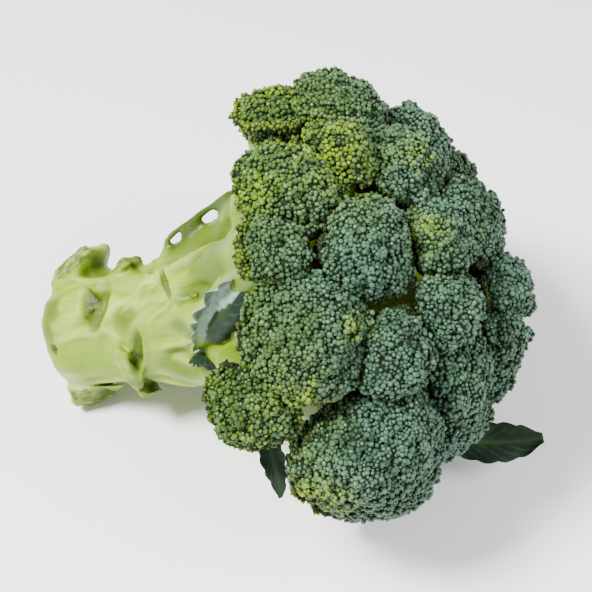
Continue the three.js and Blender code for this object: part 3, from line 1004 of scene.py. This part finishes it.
main = (height < 84) & (out < 44)
stem_frame = np.stack([height * 0.16, np.radians(turn) * STALK_RADIUS, out], 1) * MM
push, line, furrow = (np.zeros(len(points)) for _ in range(3))
push[main] += 0.8 * bumps(stem_frame[main], 5.5, 1) + 0.9 * bumps(points[main], 13, 2)
wandering = turn[main] + WANDER * bumps(points[main], 9, 8)
for start, end, rise in RIDGES:
    distance, share = ridge_distance(height[main], wandering, start, end)
    fade = np.clip(np.minimum(share, 1 - share) * 6, 0, 1)
    ditch = 0.7 * np.exp(-((distance - 2.6) / 1.3) ** 2)
    push[main] += rise * fade * (np.exp(-(distance / RIDGE_WIDTH) ** 2) - ditch)
    line[main] = np.maximum(line[main], fade * np.exp(-(distance / 0.9) ** 2))
for start, end, depth in FURROWS:
    distance, share = ridge_distance(height[main], wandering, start, end)
    fade = np.clip(np.minimum(share, 1 - share) * 5, 0, 1)
    push[main] -= depth * fade * np.exp(-(distance / FURROW_WIDTH) ** 2)
    furrow[main] = np.maximum(furrow[main], fade * np.exp(-(distance / 2.4) ** 2))
print("ridges and furrows move the skin by", round(float(push.min()), 1), "to",
      round(float(push.max()), 1), "mm")

# %% [markdown]
# ## Scars
# A trimmed leaf leaves a long scar across the stalk, with a raised lip round a corky
# hollow. `r` is 1 at the rim of the scar. A scar slants, and narrows towards one end.

# %% Stalk: scars
# Height, turn, half size along, half size across, depth in mm, and how far it slants
SCARS = [(23.5, 27, 5.4, 11.0, 2.4, -0.08), (37.6, 77, 2.7, 10.0, 2.2, -0.36),
         (52.6, 18, 1.8, 5.6, 1.8, 0.27), (33, 128, 3.0, 6.0, 1.2, 0.3),
         (46, 358, 2.6, 4.0, 1.2, 0.0), (5, 66, 1.8, 3.0, 1.2, 0.0),
         (26, 205, 3.5, 9.0, 1.6, 0.1), (40, 262, 3.0, 8.0, 1.6, -0.2),
         (14, 290, 4.0, 8.0, 1.5, 0.1)]
HOLLOW, LIP, LIP_AT, LIP_WIDTH = 0.75, 0.4, 1.12, 0.22
scar = np.zeros(len(points))
for s, middle, half_along, half_across, depth, slant in SCARS:
    w = round_mm(turn, middle) / half_across
    narrow = 1 - 0.45 * np.clip(w, 0, 1)
    r = np.hypot((height - s - slant * w * half_across) / (half_along * narrow), w)
    near = (r < 1.8) & (out < 32) & (out > 12)
    lip = np.exp(-((r - LIP_AT) / LIP_WIDTH) ** 2)
    push[near] += (depth * (LIP * lip - HOLLOW * np.clip(1 - r * r, 0, 1)))[near]
    scar[near] = np.maximum(scar, np.clip(1.25 - r, 0, 1))[near]
print("scars:", int((scar > 0.5).sum()), "points")

# %% [markdown]
# ## Cut faces and pits
# `cut` marks the torn, wet flesh on the ends of the stumps, and `butt` the clean cut at the
# foot. Cut flesh and cork are rough, so both get small bumps. Then the skin is moved.

# %% Stalk: cut faces, then the skin moves
# Height, turn, distance out, half width and half depth of the trimmed stumps
STUMPS = [(21, 235, 25, 9, 5.5), (31, 335, 23.5, 6, 3), (32, 138, 24.5, 5, 3)]
cut = np.zeros(len(points))
for s, middle, far, half_wide, half_deep in STUMPS:
    wide = np.abs(round_mm(turn, middle, far)) < half_wide * 1.2
    inside = wide & (out > far - 2.2) & (np.abs(height - s) < half_deep + 9)
    cut[inside] = np.clip((out - far + 2.2) / 1.2, 0, 1)[inside]
for middle, half, limits, lean, tilt in TRIMS:
    top = cut_height(height, turn, middle, limits, tilt)
    inside = (np.abs(around(turn, middle)) < half) & (height < CUT_TOP) & (out > 22.3)
    cut[inside] = np.clip(out - top + 2.8, 0, 1)[inside]
butt = np.clip((1.0 - height) / 0.8, 0, 1)
rough = cut > 0.2
torn = 0.7 * bumps(points[rough], 2.6, 3) + 0.5 * bumps(points[rough], 1.3, 4)
push[rough] += torn * cut[rough]
pitted = scar > 0.25
push[pitted] += 0.5 * bumps(points[pitted], 1.8, 5) * scar[pitted]
set_points(stalk.data, points + normals * (push * MM)[:, None])
print("cut faces:", int((cut > 0.5).sum()), "points")

# %% [markdown]
# ## Where the skin changes colour
# The skin is rich yellow-green where it is rubbed, and the furrows get the same rich green
# as painted shade. Painted shadow makes the places under the stumps deep green, and the thin
# leaf stalk is deep green too. One side of a stump is cream. `light` is low deep inside the
# crown, where it paints shade. All of it goes on the mesh for the material to read.

# %% Stalk: colours by place
# Height, turn, half size along and half size across of the rich places
RICH = [(5.5, 28, 4, 5), (4, 46, 2.5, 6), (53, 91, 10, 4.5), (62, 356, 12, 6), (35.5, 43, 5, 5),
        (60, 335, 14, 7), (58.5, 53, 5, 2.6), (72, 16, 9, 6), (45, 200, 16, 9),
        (60, 280, 12, 7), (66, 62, 6, 3), (30, 110, 6, 3)]
# Painted shadow under the stumps: the middle as height, turn and distance out, then the reach in
# mm
SHADED = [((18, 337, 23), 5.0), ((13.5, 341, 21.5), 3.4), ((9, 147, 22.5), 5.0),
          ((34, 338, 22.5), 2.6), ((34, 133, 22), 3.0)]
CREAM = [((4, 106, 22), 5.5), ((6, 122, 24), 4.5)]
# The thin leaf stalk, as height, turn and distance out, and the reach of its green in mm
LEAF_STALK = [(49, 331, 27), (55.5, 331, 31.5), (63, 332, 37), (75, 335, 41)]
LEAF_STALK_REACH = 3.8
rich = np.zeros(len(points))
for s, middle, half_along, half_across in RICH:
    w = round_mm(turn, middle)
    rich = np.maximum(rich, np.exp(-((height - s) / half_along) ** 2 - (w / half_across) ** 2))
# Painted shade: the furrows take the same rich green as the rubbed places
rich = np.maximum(rich, 0.8 * furrow)
along_leaf_stalk = [(tuple(np.array(a) + (np.array(b) - a) * u), LEAF_STALK_REACH)
                    for a, b in zip(LEAF_STALK, LEAF_STALK[1:]) for u in np.linspace(0, 1, 6)]
# Deep in the crown the openness is kept as `light`, which the stalk paint turns into painted
# shade
far_in = height > 66
light = np.ones(len(points))
light[far_in] = openness(points[far_in], normals[far_in], search_tree(
    [obj.data for obj in beds.values()]))
for name, values in (("scar", scar), ("cut", cut), ("butt", butt), ("rich", rich),
                     ("height", height / 100), ("light", light), ("line", line),
                     ("out", out / 100), ("shade", spots(points, SHADED + along_leaf_stalk)),
                     ("cream", spots(points, CREAM))):
    write(stalk.data, name, values)
print("rich places:", int((rich > 0.5).sum()), "points; dark ones:", int((light < 0.3).sum()))

# %% [markdown]
# ## Skin of the stalk
# Lime green, paler where the wax lies and richer where it is rubbed off, and in the furrows
# the same rich green is painted shade. The noise is stretched along the stalk, which gives
# the long streaks of a thing that grew that way.
# Towards the buds the branches turn a deeper yellow-green, and the ridges are paler.

# %% Material: stalk, skin
stalk_paint, t, shader = material("stalk_paint")
where = t.node("ShaderNodeTexCoord").outputs["Object"]
laid = t.node("ShaderNodeMapping", {
    "Vector": where, "Rotation": (0, math.atan2(AXIS.z, AXIS.x), 0)}).outputs[0]
streaked = t.node("ShaderNodeMapping", {"Vector": laid, "Scale": (0.22, 1, 1)}).outputs[0]
lime = use(t, mottle, Place=streaked, Scale=75.0, Main=rgb(0.165, 0.272, 0.0),
           Pale=rgb(0.345, 0.450, 0.025), Rich=rgb(0.085, 0.160, 0.0))
# The rich places are rubbed skin, and in the furrows they are painted shade
rubbed = t.math("MULTIPLY", t.attribute("rich"), t.noise(streaked, 160.0), clamp=True)
lime = t.blend(t.span(rubbed, 0.05, 0.30), lime, rgb(0.080, 0.135, 0.0))
towards_buds = t.span(t.attribute("height"), 0.62, 0.95)
lime = t.blend(t.math("MULTIPLY", towards_buds, 0.9), lime, rgb(0.086, 0.155, 0.0))
waxless = t.math("ADD", t.attribute("rich"), t.math("MULTIPLY", towards_buds, 0.85))
waxy = t.math("MULTIPLY", use(t, bloom, Place=streaked, Amount=0.55),
              t.math("SUBTRACT", 1.0, waxless, clamp=True))
lime = t.blend(waxy, lime, rgb(0.310, 0.420, 0.085))
lime = t.blend(t.math("MULTIPLY", t.attribute("line"), 0.7), lime, rgb(0.33, 0.42, 0.06))
print("skin of the stalk:", len(t.tree.nodes), "nodes")

# %% [markdown]
# ## Cork and cut flesh
# Scars are lined with dark corky grains. The flesh on the stumps is pale green to olive
# with dark specks, and one side is cream. The butt has a pale core inside a greener rind.

# %% Material: stalk, scars and cuts
grain = t.noise(where, 900.0, 4.0, 0.7)
cork = t.blend(t.span(grain, 0.4, 0.62), rgb(0.014, 0.026, 0.001), rgb(0.085, 0.125, 0.003))
lime = t.blend(t.span(t.attribute("scar"), 0.25, 0.6), lime, rgb(0.075, 0.125, 0.0))
corky = t.math("MULTIPLY", t.span(t.attribute("scar"), 0.4, 0.9),
               t.span(t.noise(where, 160.0, 2.0), 0.42, 0.56))
lime = t.blend(corky, lime, cork)
cream = t.blend(t.span(grain, 0.55, 0.66), rgb(0.42, 0.46, 0.18), rgb(0.10, 0.13, 0.01))
lime = t.blend(t.attribute("cream"), lime, cream)
flesh = t.blend(t.span(t.noise(where, 260.0), 0.4, 0.6),
                rgb(0.22, 0.27, 0.035), rgb(0.070, 0.110, 0.003))
flesh = t.blend(t.span(grain, 0.60, 0.70), flesh, rgb(0.045, 0.060, 0.006))
lime = t.blend(t.attribute("cut"), lime, flesh)
core = t.blend(t.noise(where, 500.0), rgb(0.40, 0.49, 0.14), rgb(0.52, 0.58, 0.26))
rind = t.blend(t.noise(where, 900.0), rgb(0.16, 0.25, 0.01), rgb(0.30, 0.39, 0.07))
core = t.blend(t.span(t.attribute("out"), 0.140, 0.180), core, rind)
lime = t.blend(t.attribute("butt"), lime, core)
print("with scars and cuts:", len(t.tree.nodes), "nodes")

# %% [markdown]
# ## Specks, shade and shine
# Small dark specks are scattered over everything. Painted shadow makes the places under the
# stumps deep green, and the thin leaf stalk is deep green too. Painted shade darkens the
# stems deep inside the crown, where no light reaches. Fine bumps give the skin its grain. A
# little light passes into the flesh, which keeps the stalk from looking like paint. Wax
# makes it dull.

# %% Material: stalk, finish
dots = t.noise(where, 1500.0, 2.0, 0.6)
lime = t.blend(t.span(dots, 0.70, 0.76, 0.0, 0.7), lime, rgb(0.10, 0.15, 0.02))
# Painted shadow under the stumps, and the deep green of the thin leaf stalk
lime = t.blend(t.math("MULTIPLY", t.attribute("shade"), 0.9), lime, rgb(0.028, 0.058, 0.001))
# Painted shade on the stems deep inside the crown, where the light is low
lime = t.blend(t.span(t.attribute("light"), 0.15, 0.5), rgb(0.018, 0.036, 0.003), lime)
t.link(lime, shader.inputs["Base Color"])
grainy = t.math("MULTIPLY", grain, t.math("ADD", t.attribute("scar"), t.attribute("cut")))
relief = t.math("ADD", t.noise(streaked, 420.0, 4.0, 0.6), grainy)
bump = t.node("ShaderNodeBump", {"Height": relief, "Strength": 0.5, "Distance": 0.6 * MM})
t.link(bump.outputs[0], shader.inputs["Normal"])
t.link(t.span(waxy, 0.0, 0.6, 0.42, 0.66), shader.inputs["Roughness"])
shader.inputs["Specular IOR Level"].default_value = 0.32
shader.inputs["Subsurface Weight"].default_value = 0.06
shader.inputs["Subsurface Radius"].default_value = (0.004, 0.005, 0.001)
shader.inputs["Subsurface Scale"].default_value = 0.6
stalk.data.materials.clear()
stalk.data.materials.append(stalk_paint)
smooth(stalk.data)
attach(stalk, "root")
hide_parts("main_stalk", "side_shoot", *stems)
print("stalk paint has", len(t.tree.nodes), "nodes")

# %% [markdown]
# ## Leaves
# The head keeps a few small leaves. Each is a grid along a curve: narrow at the stalk,
# cupped, waved and toothed at its edge, with a thick midrib and fainter veins. It has two
# layers, because a thin solid has an upper and an under side of different greens.

# %% Leaves: one leaf
ALONG, ACROSS = 44, 26
THICKNESS = 0.55


def leaf(name, node, path, width, upward, cup, wave, teeth, curl=0.0, seed=0):
    """`width` is the full width in mm at even steps along `path`."""
    rnd = np.random.default_rng(40 + seed)
    curve = interpolate_bezier(*[place(*p) for p in path], ALONG)
    upper_side = Vector(upward)
    tooth_phase = rnd.random() * 6
    points, along, across, under, rib = [], [], [], [], []
    for layer in (1, -1):
        for k in range(ALONG):
            s = k / (ALONG - 1)
            ahead = (curve[min(k + 1, ALONG - 1)] - curve[max(k - 1, 0)]).normalized()
            face = (upper_side - ahead * upper_side.dot(ahead)).normalized()
            side = ahead.cross(face)
            half = np.interp(s, np.linspace(0, 1, len(width)), width) / 2
            bite = 1 + teeth * (abs(math.sin(s * 19 + tooth_phase)) - 0.5) * min(1, 3 * s)
            for j in range(ACROSS):
                v = 2 * j / (ACROSS - 1) - 1
                edge = half * (1 + (bite - 1) * abs(v) ** 3)
                ripple = wave * math.sin(s * 15 + 2.1 * v + seed) * v * v * min(1, 2 * s)
                midrib = math.exp(-(v * half / 0.8) ** 2) * (1 - 0.7 * s)
                vein_line = abs(((s - 0.28 * abs(v)) * 9 + 0.5 * (v > 0)) % 1 - 0.5)
                vein = max(0, 1 - vein_line / 0.13) * min(1, 3 * abs(v)) * (1 - s * 0.4)
                lift = cup * half * v * v + ripple - 0.22 * vein
                lift += curl * half * math.sin(3.0 * v) * min(1, 2.5 * s)
                thick = THICKNESS * (1 - 0.55 * v * v) + 1.1 * midrib * (layer < 0)
                p = curve[k] + side * v * edge * MM + face * (lift + layer * thick / 2) * MM
                points.append(p)
                along.append(s)
                across.append(v)
                # On a curled leaf `under` goes by the place across the leaf, not by the layer
                under.append(v < 0.12 * math.sin(9 * s) - 0.05 if curl else layer < 0)
                rib.append(max(midrib, 0.75 * vein))
    faces = []
    upper = ALONG * ACROSS
    for k in range(ALONG - 1):
        for j in range(ACROSS - 1):
            a = k * ACROSS + j
            quad = (a, a + 1, a + ACROSS + 1, a + ACROSS)
            faces.append(quad)
            faces.append(tuple(upper + i for i in reversed(quad)))
    rim = ([j for j in range(ACROSS - 1)] + [k * ACROSS + ACROSS - 1 for k in range(ALONG - 1)]
           + [(ALONG - 1) * ACROSS + j for j in range(ACROSS - 1, 0, -1)]
           + [k * ACROSS for k in range(ALONG - 1, 0, -1)])
    for a, b in zip(rim, rim[1:] + rim[:1]):
        faces.append((b, a, upper + a, upper + b))
    obj = new_object(name, mesh_from(name, points, faces))
    bm = bmesh.new()
    bm.from_mesh(obj.data)
    bmesh.ops.recalc_face_normals(bm, faces=bm.faces)
    bm.to_mesh(obj.data)
    bm.free()
    for key, values in (("s", along), ("v", across), ("under", under), ("rib", rib)):
        write(obj.data, key, values)
    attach(obj, "root")
    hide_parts(node)
    return obj


print("a leaf is a grid of", ALONG, "by", ACROSS, "points in two layers")

# %% [markdown]
# ## The four leaves
# Each leaf has a path as height, turn and distance out, its widths along that path, the
# way its upper side looks, and then how cupped, how waved and how toothed it is. Two of
# them have wilted and curl. On these the pale green of the under side is painted on one half
# across the leaf, on both layers, and the dark green of the upper side on the other half.

# %% Leaves: the four of them
LEAVES = {
    "curled_leaf": leaf("curled_leaf", "leaf_curled",
                        [(66, 69, 28), (75, 58, 38), (85, 47, 45), (95, 38, 47)],
                        [4, 6, 11, 14, 13.5, 9], (0.45, -0.6, 0.6), 0.3, 1.0, 0.4,
                        curl=0.5, seed=1),
    "folded_leaf": leaf("folded_leaf", "leaf_folded",
                        [(60, 74, 24), (67, 70, 29), (72, 72, 32), (76, 78, 33)],
                        [4, 7, 9, 8, 4], (0.5, -0.6, 0.6), 0.6, 0.7, 0.3, curl=0.4, seed=2),
    "hanging_leaf": leaf("hanging_leaf", "leaf_hanging",
                         [(93, 84, 52), (99, 88, 60), (99, 97, 65), (96, 106, 68)],
                         [3, 5, 7, 7.5, 6.5, 4.5, 1], (0.1, -0.7, 0.7), 0.25, 0.5, 0.2, seed=3),
    "low_leaf": leaf("low_leaf", "leaf_low",
                     [(120, 172, 55), (132, 172, 62), (144, 174, 65), (157, 179, 68)],
                     [3, 6, 11.5, 13.5, 13.5, 11, 3], (0.18, -0.68, 0.7), 0.15, 0.8, 0.12,
                     seed=4),
}
print("leaves:", {name: len(obj.data.polygons) for name, obj in LEAVES.items()})

# %% [markdown]
# ## Greens of the leaves
# The upper side of a leaf is very dark, nearly blue, and the under side is pale with wax.
# Ribs are lighter, and the foot of the leaf is as yellow-green as the stalk.

# %% Material: leaves
leaf_paint, t, shader = material("leaf_paint")
where = t.node("ShaderNodeTexCoord").outputs["Object"]
upper_side = use(t, mottle, Place=where, Scale=120.0, Main=rgb(0.006, 0.015, 0.009),
                 Pale=rgb(0.013, 0.030, 0.014), Rich=rgb(0.005, 0.015, 0.003))
under_side = use(t, mottle, Place=where, Scale=160.0, Main=rgb(0.20, 0.29, 0.23),
                 Pale=rgb(0.31, 0.40, 0.36), Rich=rgb(0.09, 0.17, 0.07))
green = t.blend(t.attribute("under"), upper_side, under_side)
green = t.blend(t.math("MULTIPLY", t.attribute("rib"), 0.35), green, rgb(0.085, 0.150, 0.045))
foot = t.span(t.attribute("s"), 0.05, 0.35, 1.0, 0.0)
green = t.blend(t.math("MULTIPLY", foot, 0.85), green, rgb(0.18, 0.27, 0.01))
t.link(green, shader.inputs["Base Color"])
shader.inputs["Roughness"].default_value = 0.6
shader.inputs["Specular IOR Level"].default_value = 0.12
for obj in LEAVES.values():
    obj.data.materials.append(leaf_paint)
    smooth(obj.data)
print("leaf paint has", len(t.tree.nodes), "nodes")

# %% [markdown]
# ## Floor
# A plain pale floor, which the head lies on and casts its soft shadow on.

# %% Studio: floor
FLOOR_HALF = 3
corners = [(-FLOOR_HALF, -FLOOR_HALF, 0), (FLOOR_HALF, -FLOOR_HALF, 0),
           (FLOOR_HALF, FLOOR_HALF, 0), (-FLOOR_HALF, FLOOR_HALF, 0)]
floor = new_object("floor", mesh_from("floor", corners, [(0, 1, 2, 3)]))
floor_paint, t, shader = material("floor_paint")
where = t.node("ShaderNodeTexCoord").outputs["Object"]
uneven = t.noise(where, 3.0)
t.link(t.blend(uneven, rgb(0.90, 0.90, 0.90), rgb(0.92, 0.92, 0.92)), shader.inputs["Base Color"])
shader.inputs["Roughness"].default_value = 0.9
floor.data.materials.append(floor_paint)
print("the floor is", 2 * FLOOR_HALF, "m wide")

# %% [markdown]
# ## Light
# A white sky lights everything evenly. One large soft lamp from the upper left shades the
# domes of the crown gently, and a weak one from the right opens its shadows.

# %% Studio: sky and lamps
SKY_STRENGTH = 0.66
LAMPS_AIM = (0.0, 0.0, 0.05)
# Name, place and size in metres, and watts
LAMPS = [("key", (-0.38, -0.30, 0.80), 0.26, 27.0), ("fill", (0.70, -0.10, 0.55), 0.50, 9.0)]
world = bpy.data.worlds.new("studio")
bpy.context.scene.world = world
world.use_nodes = True
background = world.node_tree.nodes["Background"]
background.inputs["Color"].default_value = (1.0, 1.0, 1.0, 1.0)
background.inputs["Strength"].default_value = SKY_STRENGTH
for name, at, size, watts in LAMPS:
    data = bpy.data.lights.new(name, "AREA")
    data.size, data.energy = size, watts
    lamp = new_object(name, data)
    lamp.location = at
    lamp.rotation_mode = "QUATERNION"
    lamp.rotation_quaternion = (Vector(LAMPS_AIM) - Vector(at)).to_track_quat("-Z", "Y")
print("lamps:", [lamp[0] for lamp in LAMPS])

# %% [markdown]
# ## Camera
# The camera looks down at the head from the front, with a long lens, so that the near
# heads are not swollen. It looks at a place inside the crown and stands a little to the
# left of it and above, which leaves even room round the head.

# %% Camera
AZIMUTH, ELEVATION = math.radians(15), math.radians(45)
DISTANCE, TO_LEFT, TO_TOP = 457 * MM, 19.9 * MM, 2.3 * MM
AIM_HEIGHT, LENS, SENSOR = 112, 85, 36
back = Vector((math.sin(AZIMUTH) * math.cos(ELEVATION),
               -math.cos(AZIMUTH) * math.cos(ELEVATION), math.sin(ELEVATION)))
right = Vector((math.cos(AZIMUTH), math.sin(AZIMUTH), 0))
upward = back.cross(right)
aim = BUTT + AXIS * AIM_HEIGHT * MM
camera = new_object("camera", bpy.data.cameras.new("camera"))
camera.data.lens, camera.data.sensor_width = LENS, SENSOR
camera.location = aim + back * DISTANCE - right * TO_LEFT + upward * TO_TOP
camera.rotation_mode = "QUATERNION"
camera.rotation_quaternion = (-back).to_track_quat("-Z", "Y")
camera.data.clip_start, camera.data.clip_end = 0.01, 10
bpy.context.scene.camera = camera
print("the camera stands at", [round(1000 * c) for c in camera.location], "mm")

# %% [markdown]
# ## The bud pattern
# The bud that was the pattern is no longer needed.

# %% Remove the bud pattern
bpy.data.objects.remove(bud)
